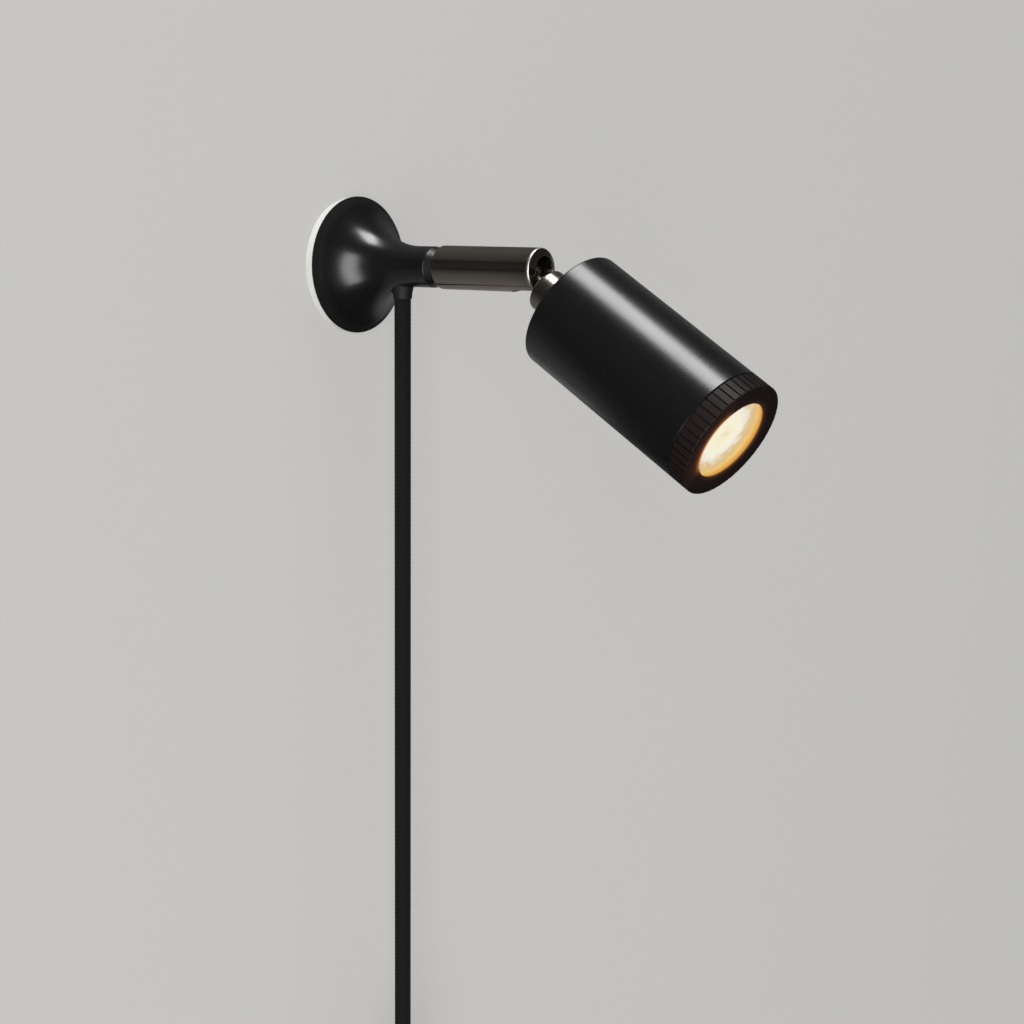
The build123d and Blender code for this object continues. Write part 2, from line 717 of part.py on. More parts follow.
def switch_outline():
    """The switch from the front: a long rounded body that narrows to the cord at both ends."""
    half, neck, shoulder = SWITCH_LONG / 2, 5.5, 19.0
    right = [(neck, half), (neck + 1.0, half - 4), (SWITCH_W / 2, shoulder), (SWITCH_W / 2, -shoulder)]
    right += [(neck + 1.0, -half + 4), (neck, -half)]
    left = [(-x, z) for x, z in reversed(right)]
    face = make_face(Polyline(*right, *left, close=True))
    corners = face.vertices().filter_by(lambda v: abs(v.Y) < half - 1)
    return fillet(corners, 13.0)


SWITCH = Plane(origin=(0, CORD_Y, SWITCH_TOP - SWITCH_LONG / 2), x_dir=(1, 0, 0), z_dir=(0, -1, 0))
ROCKER_HOLE = (11.6, 21.6)
ROCKER_AXIS = 6.2  # pivot's height over the cord's centre line
ROCKER_R = 1.1


def switch_shell(depth, rounding):
    shell = extrude(switch_outline(), depth)
    return fillet(shell.faces().sort_by(Axis.Z)[-1].edges(), rounding)


def switch_front():
    shell = switch_shell(SWITCH_FRONT, 3.2)
    wide, long = ROCKER_HOLE
    shell -= block((-wide / 2, wide / 2), (-long / 2, long / 2), (2.5, SWITCH_FRONT + 1))
    pivot = Pos(0, 0, ROCKER_AXIS) * Rot(0, 90, 0) * Cylinder(ROCKER_R + 0.06, wide + 2.4)
    return shell - pivot


def switch_back():
    shell = Rot(180, 0, 0) * switch_shell(SWITCH_REAR, 3.2)
    for y in (-21, 21):
        shell -= rod(1.3, -SWITCH_REAR, -0.5, y=y)
        shell -= rod(2.6, -SWITCH_REAR, -SWITCH_REAR + 1.8, y=y)
    return shell


def switch_screws():
    screws = []
    for y in (-21, 21):
        screw = rod(1.25, -SWITCH_REAR + 1.8, -0.6, y=y) + rod(2.5, -SWITCH_REAR + 0.3, -SWITCH_REAR + 1.8, y=y)
        slot = block((-2.6, 2.6), (y - 0.35, y + 0.35), (-SWITCH_REAR, -SWITCH_REAR + 0.9))
        screws.append(screw - slot)
    return Compound(children=screws)


def switch_rocker():
    """Shallow V rocker, upper end pressed in: the lamp is on."""
    wide, half = ROCKER_HOLE[0] - 0.8, ROCKER_HOLE[1] / 2 - 0.8
    side = Polyline((-half, 2.9), (0, 1.7), (half, 2.9), (half - 0.6, -0.8), (3.0, -2.6), (-3.0, -2.6), (-half + 0.6, -0.8), close=True)
    body = extrude(Plane.YZ * make_face(side), wide / 2, both=True)
    body = fillet(body.edges().filter_by(Axis.X).sort_by(Axis.Z)[-2:], 0.5)
    body += Rot(0, 90, 0) * Cylinder(ROCKER_R, wide + 2.4)
    return Pos(0, 0, ROCKER_AXIS) * Rot(-ROCKER_TILT, 0, 0) * body


# the plug hangs with its flat sides facing left and right, cord end up; Z runs down towards its pins
def plug_frame():
    top = coil_last()
    return Plane(origin=(top.X, top.Y, top.Z - TAIL), x_dir=(0, 1, 0), z_dir=(0, 0, -1))


def plug_body():
    """Flat two-pin plug: a tapered ribbed relief, then a six-sided body."""
    relief, shoulder, end = 14.0, 24.0, 36.0
    wide, thick, neck = 35.3, 13.7, 12.0
    outline = Polyline(
        (-neck / 2, relief - 2),
        (-wide / 2, shoulder),
        (-wide / 2 + 1.6, end),
        (wide / 2 - 1.6, end),
        (wide / 2, shoulder),
        (neck / 2, relief - 2),
        close=True,
    )
    body = Plane.XZ * make_face(outline)
    body = extrude(body, thick / 2, both=True)
    body = fillet(body.edges().filter_by(Axis.Y), 2.0)
    body = fillet(body.faces().sort_by(Axis.Y)[0].edges() + body.faces().sort_by(Axis.Y)[-1].edges(), 1.5)
    sleeve = Cone(CORD_R + 0.7, 5.2, relief, align=(Align.CENTER, Align.CENTER, Align.MIN))
    for groove in (3.0, 5.6, 8.2):
        sleeve -= Pos(0, 0, groove) * (Cylinder(8, 1.0) - Cylinder(CORD_R + 0.5, 1.0))
    return body + sleeve


def plug_pins():
    """Round pins with insulated roots, which lean together a little."""
    pins = []
    for side in (-1, 1):
        pin = fillet(rod(2.0, 0, 19.0).edges().sort_by(Axis.Z)[-1], 1.4)
        pins.append(Pos(side * 9.3, 0, 36.0) * Rot(0, -side * 1.0, 0) * pin)
    return Compound(children=pins) - block((-20, 20), (-20, 20), (30.0, 36.0))


# ---------------------------------------------------------------- write every piece
def build():
    os.makedirs("parts", exist_ok=True)
    in_arm = {
        "wall_plate": wall_plate(),
        "base_shell": base_shell(),
        "base_ring": base_ring(),
        "neck_leads": neck_leads(),
        "swivel_ring": swivel_ring(),
        "pivot_nipple": tube(NIPPLE_R, NIPPLE_BORE, 33.0, PIVOT_NUT[1] + 0.6),
        "swivel_washer": tube(6.1, NIPPLE_R, RING_END, TUBE_START - 0.05),
        "pivot_washer": pivot_washer(),
        "pivot_nut": hexagon(11.0, *PIVOT_NUT) - rod(NIPPLE_R, *PIVOT_NUT),
        "arm_tube": arm_tube(),
        "arm_plug": arm_plug(),
        "spring_stop": spring_stop(),
        "seat_springs": seat_springs(),
        "ball_seat": ball_seat(),
        "arm_leads": arm_leads(),
    }
    in_head = {
        "ball_stud": ball_stud(),
        "stud_leads": stud_leads(),
        "stud_washer": tube(5.5, SHANK_R, *STUD_WASHER),
        "stud_nut": hexagon(8.0, *STUD_NUT) - rod(SHANK_R, *STUD_NUT),
        "head_collar": head_collar(),
        "head_shell": head_shell(),
        "holder_bracket": holder_bracket(),
        "bracket_screws": bracket_screws(),
        "holder_screws": holder_screws(),
        "lamp_holder": lamp_holder(),
        "holder_contacts": holder_contacts(),
        "head_leads": head_leads(),
        "front_ring": front_ring(),
        "lamp_cap": lamp_cap(),
        "lamp_pins": lamp_pins(),
        "lamp_reflector": lamp_reflector(),
        "lamp_face": lamp_face(),
    }
    in_room = {
        "cord_gland": cord_gland(),
        "cord_grip": cord_grip(),
        "grip_screw": grip_screw(),
        "cord_drop": cord_drop(),
        "cord_lead": cord_lead(),
        "cord_coil": cord_coil(),
        "cord_tail": cord_tail(),
        "coil_tie": coil_tie(),
    }
    in_switch = {
        "switch_front": switch_front(),
        "switch_back": switch_back(),
        "switch_screws": switch_screws(),
        "switch_rocker": switch_rocker(),
    }
    in_plug = {"plug_body": plug_body(), "plug_pins": plug_pins()}
    groups = ((in_arm, ARM), (in_head, HEAD), (in_room, Plane.XY), (in_switch, SWITCH), (in_plug, plug_frame()))
    for pieces, frame in groups:
        for node, shape in pieces.items():
            save(shape, node, frame)


if __name__ == "__main__":
    build()
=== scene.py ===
# %% [markdown]
# A plug-in wall spotlight: a black trumpet-shaped base on a white plate, a black nickel arm, and a
# cylindrical head on a ball. The imported CAD model is loaded first, because it fixes every size and place.
# Nearly every pattern on the light is placed from the centre of the ball, and the head's patterns are tilted
# as far as the head can be raised before it is level with the arm.

# %% Load the CAD frame
import json
from math import cos, pi, radians, sin

import bpy
from mathutils import Matrix, Vector


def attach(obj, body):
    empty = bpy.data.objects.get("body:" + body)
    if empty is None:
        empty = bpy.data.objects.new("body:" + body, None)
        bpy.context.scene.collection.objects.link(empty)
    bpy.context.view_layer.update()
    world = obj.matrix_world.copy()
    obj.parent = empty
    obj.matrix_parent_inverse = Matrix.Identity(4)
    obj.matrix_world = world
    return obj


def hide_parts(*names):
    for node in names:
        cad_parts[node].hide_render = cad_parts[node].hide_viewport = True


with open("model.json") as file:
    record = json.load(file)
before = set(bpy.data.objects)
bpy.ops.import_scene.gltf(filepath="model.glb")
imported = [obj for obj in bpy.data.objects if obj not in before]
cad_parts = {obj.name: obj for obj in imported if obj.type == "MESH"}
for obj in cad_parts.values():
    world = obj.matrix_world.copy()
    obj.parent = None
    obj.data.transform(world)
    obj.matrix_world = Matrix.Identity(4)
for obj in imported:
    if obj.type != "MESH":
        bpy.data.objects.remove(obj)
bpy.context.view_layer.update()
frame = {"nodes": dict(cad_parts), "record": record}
MM = 0.001
joints = {joint["name"]: joint for joint in frame["record"]["behaviour"]["joints"]}
BALL = Vector(joints["head_tilt"]["pos_m"])
TILT = radians(-joints["head_tilt"]["range_deg"][0])
print("ball at", tuple(BALL), "head tilted by", round(TILT, 4))

# %% [markdown]
# Colours are written as they look on a screen, in sRGB hex, and the renderer works in linear light. One
# function turns the one into the other. A second adds a shader node with its settings and its links, which
# is nearly all that a material needs. Where two inputs of a node share a name, they are given by number: 6
# and 7 are the two colours of a Mix node, and 1 and 2 the two shaders of a Mix Shader.

# %% Colours and nodes
def colour(hex_code):
    """Linear RGBA from an sRGB hex code such as '#C4C3C1'."""
    parts = [int(hex_code[i : i + 2], 16) / 255 for i in (1, 3, 5)]
    return [c / 12.92 if c <= 0.04045 else ((c + 0.055) / 1.055) ** 2.4 for c in parts] + [1.0]


def node(tree, kind, settings=None, **links):
    """Add a shader node. settings are its properties; links are its inputs, by name or number, as values or
    as sockets."""
    made = tree.nodes.new(kind)
    for name, value in (settings or {}).items():
        setattr(made, name, value)
    for name, value in links.items():
        socket = made.inputs[int(name[1:]) if name[1:].isdigit() else name.replace("_", " ")]
        if isinstance(value, bpy.types.NodeSocket):
            tree.links.new(value, socket)
        else:
            socket.default_value = value
    return made


print("the wall's grey in linear light:", [round(c, 3) for c in colour("#C4C3C1")])

# %% [markdown]
# Every material starts as one Principled shader on its output. Some then end in another shader, and most
# read where they are on the object: round an axis, that is best said as a place along the axis and a
# distance from it.

# %% Materials and places
def new_material(name, **values):
    """A material with a Principled BSDF; returns the material, its tree and its shader."""
    material = bpy.data.materials.new(name)
    material.use_nodes = True
    tree = material.node_tree
    tree.nodes.clear()
    shader = node(tree, "ShaderNodeBsdfPrincipled", **values)
    node(tree, "ShaderNodeOutputMaterial", Surface=shader.outputs["BSDF"])
    return material, tree, shader


def end_in(tree, surface):
    """Make another shader the one that the material ends in."""
    tree.links.new(surface, tree.nodes["Material Output"].inputs["Surface"])


def ramp(tree, factor, stops):
    """The colour output of a ramp with the given stops, each a place from 0 to 1 and a colour."""
    made = node(tree, "ShaderNodeValToRGB", Fac=factor)
    elements = made.color_ramp.elements
    stops = [(place, colour(shade) if isinstance(shade, str) else shade) for place, shade in stops]
    for element, (place, shade) in zip(elements, (stops[0], stops[-1])):
        element.position, element.color = place, shade
    for place, shade in stops[1:-1]:
        elements.new(place).color = shade
    return made.outputs["Color"]


def round_the_axis(tree, place):
    """A place's three parts, the place seen along Y, and its distance from the Y axis, as sockets."""
    parts = node(tree, "ShaderNodeSeparateXYZ", Vector=place).outputs
    flat = node(tree, "ShaderNodeCombineXYZ", X=parts["X"], Y=parts["Z"]).outputs[0]
    radius = node(tree, "ShaderNodeVectorMath", {"operation": "LENGTH"}, _0=flat).outputs["Value"]
    return parts, flat, radius


print("helpers:", [made.__name__ for made in (new_material, end_in, ramp, round_the_axis)])

# %% [markdown]
# The camera stands to the left of the light, level with it, with a long lens. Its place and turn were
# solved from the ellipses of the base and the ring and the edges of the arm and the head, so it needs no
# shift.

# %% Camera
yaw, pitch, roll = radians(51.901), radians(8.377), radians(0.444)
ahead = Vector((cos(pitch) * sin(yaw), cos(pitch) * cos(yaw), -sin(pitch)))
level_right = ahead.cross(Vector((0, 0, 1))).normalized()
level_up = level_right.cross(ahead)
right = level_right * cos(roll) + level_up * sin(roll)
up = level_up * cos(roll) - level_right * sin(roll)
bpy.ops.object.camera_add(location=Vector((-585.845, -538.924, 20.606)) * MM)
camera = bpy.context.object
camera.rotation_euler = Matrix((right, up, -ahead)).transposed().to_euler()
camera.data.lens = 71.616
camera.data.sensor_width = 36.0
camera.data.clip_start = 0.01
bpy.context.scene.camera = camera
print("camera to ball:", round((camera.location - BALL).length, 3), "m")

# %% [markdown]
# The light hangs on a pale painted wall. Polished metal mirrors the wall beside it, and a studio is never
# evenly lit, so the wall's colour is painted darker for reflections only: painted shade that sets the bands
# in the metal. How dark depends on the side, so each list goes once round the arm as seen from the room:
# degrees from the right, over the top, and the share of its brightness that the wall has there in a
# reflection. The first list is the wall close behind the arm, the second the wall further out.

# %% The wall in reflections, painted darker
WALL_BY_THE_ARM = ((0, 0.2), (21, 0.2), (68, 0.3), (84, 0.32), (110, 0.26), (138, 0.17), (142, 0.06),
                   (167, 0.1), (188, 0.06), (194, 0.18), (222, 0.36), (250, 0.5), (285, 0.72), (330, 0.5),
                   (360, 0.2))
WALL_FURTHER_OUT = ((0, 0.4), (30, 0.3), (60, 0.08), (180, 0.05), (270, 0.02), (320, 0.2), (360, 0.4))
# the floor is painted dark in reflections as well
FLOOR = ((0, 0.04), (360, 0.04))
CLOSE_R, FURTHER_R = 0.12, 0.15  # metres from the arm's axis: the end of the first list, the second's start


def painted_shade_in_reflections(tree, close, further):
    """The painted shade that a reflection multiplies the paint by: the wall or floor painted darker in
    reflections.
    """
    parts, _, radius = round_the_axis(tree, node(tree, "ShaderNodeTexCoord").outputs["Object"])
    back_z = node(tree, "ShaderNodeMath", {"operation": "MULTIPLY"}, _0=parts["Z"], _1=-1.0)
    back_x = node(tree, "ShaderNodeMath", {"operation": "MULTIPLY"}, _0=parts["X"], _1=-1.0)
    turn = node(tree, "ShaderNodeMath", {"operation": "ARCTAN2"}, _0=back_z.outputs[0], _1=back_x.outputs[0])
    around = node(tree, "ShaderNodeMapRange", Value=turn.outputs[0], From_Min=-pi, From_Max=pi)
    out = node(tree, "ShaderNodeMapRange", Value=radius, From_Min=CLOSE_R, From_Max=FURTHER_R)
    dims = [ramp(tree, around.outputs[0], [(turned / 360, [level] * 3 + [1.0]) for turned, level in stops])
            for stops in (close, further)]
    return node(tree, "ShaderNodeMix", {"data_type": "RGBA"}, Factor=out.outputs[0], _6=dims[0],
                _7=dims[1]).outputs[2]


print("dimmest and brightest wall in a reflection:", min(s for _, s in WALL_FURTHER_OUT),
      max(s for _, s in WALL_BY_THE_ARM))

# %% [markdown]
# Wall paint is matt, and its tone wanders very slightly from one end of a wall to the other. The camera
# sees most of the paint's own colour with only a part of the wall's shadows, as in a photograph that was
# taken with a lot of stray light. From behind the wall is clear, so that the back of the light can be
# looked at.

# %% Wall paint
DEEPER = 0.985  # the deepest tone beside the plain paint
WANDERS = 3.0  # patches of that tone across the wall
PLAIN_SHARE = 0.72  # how much of what the camera sees is plain paint without shadows


def stage_finish(name, hex_code, close, further):
    """Paint for the wall or the floor."""
    material, tree, shader = new_material(name, Roughness=0.9)
    shader.inputs["Specular IOR Level"].default_value = 0.1
    mottle = node(tree, "ShaderNodeTexNoise", Scale=WANDERS, Detail=3.0)
    base = colour(hex_code)
    deep = [c * DEEPER for c in base[:3]] + [1.0]
    mixed = node(tree, "ShaderNodeMix", {"data_type": "RGBA"}, Factor=mottle.outputs["Fac"], _6=base,
                 _7=deep).outputs[2]
    rays = node(tree, "ShaderNodeLightPath").outputs
    # reflections see the paint multiplied by the painted shade
    seen = node(tree, "ShaderNodeMix", {"data_type": "RGBA", "blend_type": "MULTIPLY"},
                Factor=rays["Is Glossy Ray"], _6=mixed, _7=painted_shade_in_reflections(tree, close, further))
    tree.links.new(seen.outputs[2], shader.inputs["Base Color"])
    plain = node(tree, "ShaderNodeEmission", Color=mixed)
    share = node(tree, "ShaderNodeMath", {"operation": "MULTIPLY"}, _0=rays["Is Camera Ray"], _1=PLAIN_SHARE)
    shown = node(tree, "ShaderNodeMixShader", _0=share.outputs[0], _1=shader.outputs[0], _2=plain.outputs[0])
    behind = node(tree, "ShaderNodeNewGeometry").outputs["Backfacing"]
    clear = node(tree, "ShaderNodeBsdfTransparent")
    both = node(tree, "ShaderNodeMixShader", _0=behind, _1=shown.outputs[0], _2=clear.outputs[0])
    end_in(tree, both.outputs[0])
    return material


wall_paint = stage_finish("matt_wall_paint", "#C4C3C1", WALL_BY_THE_ARM, WALL_FURTHER_OUT)
floor_paint = stage_finish("pale_floor", "#D6D5D2", FLOOR, FLOOR)
print("nodes in the wall paint:", len(wall_paint.node_tree.nodes))

# %% [markdown]
# The wall is a sheet without thickness: a circle the size of the hole that the plate covers, whose edge is
# extruded and scaled out to the size of a room. It lies a tenth of a millimetre behind the plate. The floor
# is a plain square well below the plug.

# %% Wall and floor
HOLE_R = 24.0  # mm
WALL_R = 4800.0  # mm
bpy.ops.object.select_all(action="DESELECT")
bpy.ops.mesh.primitive_circle_add(vertices=64, radius=HOLE_R * MM, fill_type="NOTHING",
                                  rotation=(pi / 2, 0, 0))
wall = bpy.context.object
wall.name = "wall"
bpy.ops.object.transform_apply(rotation=True)
bpy.ops.object.mode_set(mode="EDIT")
bpy.ops.mesh.select_all(action="SELECT")
bpy.ops.mesh.extrude_region_move()
bpy.ops.transform.resize(value=(WALL_R / HOLE_R,) * 3, center_override=(0, 0, 0))
bpy.ops.object.mode_set(mode="OBJECT")
if wall.data.polygons[0].normal.y > 0:
    wall.data.flip_normals()
wall.location.y = 0.1 * MM
wall.data.materials.append(wall_paint)
bpy.ops.mesh.primitive_plane_add(size=10, location=(0, -4.99, -1.9))
floor = bpy.context.object
floor.name = "floor"
floor.data.materials.append(floor_paint)
print("wall:", len(wall.data.polygons), "faces, floor", -floor.location.z, "m below the light")

# %% [markdown]
# The room is lit by a large softbox overhead and a tall soft light behind the camera. Area lights are used
# because their size decides how soft the streaks on paint and metal are.

# %% Lights
def softbox(name, place, target, size, power):
    """A rectangular light that shines on a target; places and size are in metres, the power is in watts."""
    bpy.ops.object.light_add(type="AREA", location=place)
    lamp = bpy.context.object
    lamp.name = name
    lamp.data.shape = "RECTANGLE"
    lamp.data.size, lamp.data.size_y = size
    lamp.data.energy = power
    lamp.rotation_euler = (Vector(target) - Vector(place)).to_track_quat("-Z", "Y").to_euler()
    print(name, "light:", size, "m,", power, "W")


softbox("overhead", (-0.11, -0.33, 2.6), (0, -0.1, 0), (1.15, 1.1), 62.0)
softbox("front", (-1.53, -1.21, -0.28), (0, -0.05, 0), (0.68, 2.6), 38.0)

# %% [markdown]
# A low fill comes from everywhere. It is darker in reflections, as it is when dark cloth hangs behind a
# studio camera: that keeps black paint black. The fill isn't sampled like a lamp, which would mix its two
# strengths. The Standard view leaves colours as they are, so that a glow looks like its hex code in the
# picture.

# %% Fill light
FILL, FILL_IN_REFLECTIONS = 0.5, 0.05
world = bpy.data.worlds.new("studio")
bpy.context.scene.world = world
world.use_nodes = True
rays = node(world.node_tree, "ShaderNodeLightPath")
fill = node(world.node_tree, "ShaderNodeMapRange", Value=rays.outputs["Is Glossy Ray"], To_Min=FILL,
            To_Max=FILL_IN_REFLECTIONS)
world.cycles.sampling_method = "NONE"
background = world.node_tree.nodes["Background"]
background.inputs["Color"].default_value = colour("#FFFFFF")
world.node_tree.links.new(fill.outputs[0], background.inputs["Strength"])
bpy.context.scene.view_settings.view_transform = "Standard"
print("fill:", FILL, "and in reflections", FILL_IN_REFLECTIONS)

# %% [markdown]
# The cord is one round textile cord of 6.4 mm. It leaves the neck, hangs straight through the switch, and
# is wound up below it: in by three turns, across to the front layer, and out again. Its line is a smooth
# spline that cuts inside its points, so the points of the turns stand a little outside the circle that they
# make.

# %% Cord route
CORD_R = 3.2  # mm, as are the sizes below
CORD_Y = -26.0  # the cord's distance from the wall
LAYER, PITCH = 8.45, 7.95  # from layer to layer, and from turn to turn
COIL_Z, COIL_START = -471.251, 49.8  # height of the coil's centre, and radius where its turns begin
INWARD, ACROSS = 1080.0, 1260.0  # degrees at which the coil is all the way in, and is on the front layer
ENTRY, STEP = -45.0, 22.5  # degrees where the cord joins the coil, and from point to point
POINTS = 98  # number of the coil's points
TAIL_X = -45.825  # where the last turn ends and the cord hangs down to the plug


def coil_point(turn):
    """A control point of the coil, in mm, at an angle in degrees from the left end of the first turn."""
    tightest = COIL_START - PITCH * INWARD / 360
    if turn < INWARD:
        radius, layer = COIL_START - PITCH * turn / 360, 0.0
    elif turn < ACROSS:
        radius, layer = tightest, (turn - INWARD) / (ACROSS - INWARD)
    else:
        radius, layer = tightest + PITCH * (turn - ACROSS) / 360, 1.0
    angle = radians(180 + turn)
    radius /= cos(radians(STEP / 2))
    return (radius * cos(angle), CORD_Y - LAYER * layer, COIL_Z + radius * sin(angle))


drop = [(0, CORD_Y, z) for z in (-1.6, -12.2, -40, -270, -308, -339, -370, -385, -400)]
coil = [coil_point(ENTRY + STEP / 2 + i * STEP) for i in range(POINTS)]
tail = [(TAIL_X, CORD_Y - LAYER, COIL_Z - down) for down in (8, 18, 34)]
route = drop + coil + tail
print("cord points:", len(route))

# %% [markdown]
# The route's points pull on a NURBS spline, as weights pull on a bent lath. Blender turns the spline into a
# chain of short straight pieces, whose points are read from a mesh made of it.

# %% Cord line
curve = bpy.data.curves.new("cord_line", "CURVE")
curve.dimensions = "3D"
spline = curve.splines.new("NURBS")
spline.points.add(len(route) - 1)
for point, place in zip(spline.points, route):
    point.co = [c * MM for c in place] + [1.0]
spline.order_u = 3
spline.use_endpoint_u = True
spline.resolution_u = 24
line = bpy.data.objects.new("cord_line", curve)
bpy.context.scene.collection.objects.link(line)
bpy.context.view_layer.update()
drawn = bpy.data.meshes.new_from_object(line.evaluated_get(bpy.context.evaluated_depsgraph_get()))
spline_points = [v.co.copy() for v in drawn.vertices]
bpy.data.objects.remove(line)
print("points on the spline:", len(spline_points))

# %% [markdown]
# The chain's points lie closer together in the tight turns. The tube needs its rings at even steps, so that
# the braid is even too, and the chain is walked once more with that step.

# %% Even steps
def evenly(points, step):
    """Points a step apart along a line that is given by many close points."""
    made, left = [points[0]], step
    for a, b in zip(points, points[1:]):
        span = (b - a).length
        while span > 1e-9 and left <= span:
            a = a.lerp(b, left / span)
            span -= left
            made.append(a)
            left = step
        left -= span
    return made


BRAID = 0.84  # mm between rings of the tube, half of one diamond of the braid
path = evenly(spline_points, BRAID * MM)

# %% [markdown]
# A tube is laid along the line, ring by ring. Each ring is turned as little as it can be from the one
# before, so the braid doesn't twist. Every second corner stands out by a hair, like the squares of one
# colour on a chessboard, which gives the cord the knobbly diamonds of a braided sleeve in its shape and not
# only in its shading. The tube carries its own UV map: once round the cord, and along it in metres.

# %% Cord tube
def tube_along(name, points, radius, sides, knob):
    """A closed tube along the points, every second corner of which lies deeper by the height of a knob."""
    mesh = bpy.data.meshes.new(name)
    verts, faces, uvs, runs = [], [], [], []
    side, run = None, 0.0
    for i, point in enumerate(points):
        before, after = points[max(i - 1, 0)], points[min(i + 1, len(points) - 1)]
        heading = (after - before).normalized()
        side = side or heading.orthogonal().normalized()
        side = (side - heading * side.dot(heading)).normalized()
        other = heading.cross(side)
        run += (point - before).length if i else 0.0
        runs.append(run)
        for k in range(sides):
            angle = 2 * pi * k / sides
            reach = radius - (knob if (i + k) % 2 else 0.0)
            verts.append(point + side * (reach * cos(angle)) + other * (reach * sin(angle)))
    for i in range(len(points) - 1):
        for k in range(sides):
            k2 = (k + 1) % sides
            faces.append((i * sides + k, i * sides + k2, (i + 1) * sides + k2, (i + 1) * sides + k))
            u, u2 = k / sides, (k + 1) / sides
            uvs += [(u, runs[i]), (u2, runs[i]), (u2, runs[i + 1]), (u, runs[i + 1])]
    faces.append(tuple(reversed(range(sides))))
    faces.append(tuple((len(points) - 1) * sides + k for k in range(sides)))
    uvs += [(0.5, 0.0)] * (2 * sides)
    mesh.from_pydata(verts, [], faces)
    layer = mesh.uv_layers.new(name="braid")
    for loop, uv in zip(layer.data, uvs):
        loop.uv = uv
    mesh.polygons.foreach_set("use_smooth", [len(f) == 4 for f in faces])
    made = bpy.data.objects.new(name, mesh)
    bpy.context.scene.collection.objects.link(made)
    return made


SIDES = 24
KNOB = 0.09  # mm
cord = tube_along("textile_cord", path, CORD_R * MM, SIDES, KNOB * MM)
print("cord faces:", len(cord.data.polygons))

# %% [markdown]
# The tube takes the place of the four stretches of cord in the CAD model. It moves with the wall mount, and
# switch, plug and tie are on it. It leaves the light where it comes out of the bush under the neck.

# %% Cord's place in the model
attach(cord, "wall_mount")
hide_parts("cord_drop", "cord_lead", "cord_coil", "cord_tail")

# %% [markdown]
# Most patterns are fixed to the object's own coordinates, in metres. A Mapping node of the kind Texture
# turns them so that Y runs along the arm or along the head, moves them to the ball's centre, and divides
# them by a grain size for each direction, so the size of a pattern can be written in millimetres. With a
# grain of one millimetre the result is simply a place in millimetres.

# %% Pattern coordinates
ALONG_ARM = (0.0, 0.0, 0.0)
ALONG_HEAD = (TILT, 0.0, 0.0)
ONE_MM = (1.0, 1.0, 1.0)


def pattern(tree, turn, grain):
    """Object coordinates from the ball's centre, turned, and counted in grains of the given size in mm."""
    place = node(tree, "ShaderNodeTexCoord")
    return node(tree, "ShaderNodeMapping", {"vector_type": "TEXTURE"}, Vector=place.outputs["Object"],
                Location=BALL, Rotation=turn, Scale=[g * MM for g in grain]).outputs[0]


print("the head's patterns are turned by", round(TILT / radians(1), 2), "degrees")

# %% [markdown]
# Powder coat: dry paint powder that is baked on the steel base and the aluminium head. It melts into a
# closed satin skin with a very fine orange peel, about half a millimetre from hill to hill. It is a deep
# black, so what the eye reads is only the broad soft streak of a light in it, and a fine grain at the
# streak's edges.

# %% Black powder coat
PEEL = (0.45,) * 3  # mm, the hills of the orange peel
CLOUD = (9.0,) * 3  # mm, patches where the powder melted a little flatter


def powder_coat(name, tones=("#0C0C0D", "#111112"), roughness=0.25):
    material, tree, shader = new_material(name)
    peel = node(tree, "ShaderNodeTexNoise", Vector=pattern(tree, ALONG_ARM, PEEL), Scale=1.0, Detail=2.0)
    cloud = node(tree, "ShaderNodeTexNoise", Vector=pattern(tree, ALONG_ARM, CLOUD), Scale=1.0, Detail=2.0)
    base = node(tree, "ShaderNodeMix", {"data_type": "RGBA"}, Factor=peel.outputs["Fac"], _6=colour(tones[0]),
                _7=colour(tones[1]))
    rough = node(tree, "ShaderNodeMapRange", Value=cloud.outputs["Fac"], To_Min=roughness,
                 To_Max=roughness + 0.05)
    bump = node(tree, "ShaderNodeBump", Height=peel.outputs["Fac"], Strength=0.35, Distance=0.02 * MM)
    tree.links.new(base.outputs[2], shader.inputs["Base Color"])
    tree.links.new(rough.outputs[0], shader.inputs["Roughness"])
    tree.links.new(bump.outputs[0], shader.inputs["Normal"])
    return material


black_paint = powder_coat("black_powder_coat")
print("paint:", black_paint.name, "with a peel of", PEEL[0], "mm")

# %% [markdown]
# On the base the coat thins out over the rolled back edge, where less powder settles. There it is dull, and
# the rim ends in a plain dark line against the white plate. A second shader of nearly the same colour
# without gloss is mixed in towards the edge, beyond which the last millimetre and a half is fully dull.

# %% Dull back edge of the base
DULLING_R, DULL_R = 22.2, 24.6  # mm from the arm's axis


def base_coat():
    material = powder_coat("black_powder_coat_with_dull_rim", roughness=0.21)
    tree = material.node_tree
    gloss = tree.nodes["Principled BSDF"]
    radius = round_the_axis(tree, pattern(tree, ALONG_ARM, ONE_MM))[2]
    at_rim = node(tree, "ShaderNodeMapRange", {"interpolation_type": "SMOOTHSTEP"}, Value=radius,
                  From_Min=DULLING_R, From_Max=DULL_R)
    dull = node(tree, "ShaderNodeBsdfPrincipled", Roughness=0.8, Base_Color=colour("#121212"))
    dull.inputs["Specular IOR Level"].default_value = 0.1
    both = node(tree, "ShaderNodeMixShader", _0=at_rim.outputs[0], _1=gloss.outputs[0], _2=dull.outputs[0])
    end_in(tree, both.outputs[0])
    return material


base_paint = base_coat()
print("base paint is dull from", DULL_R, "mm outwards")
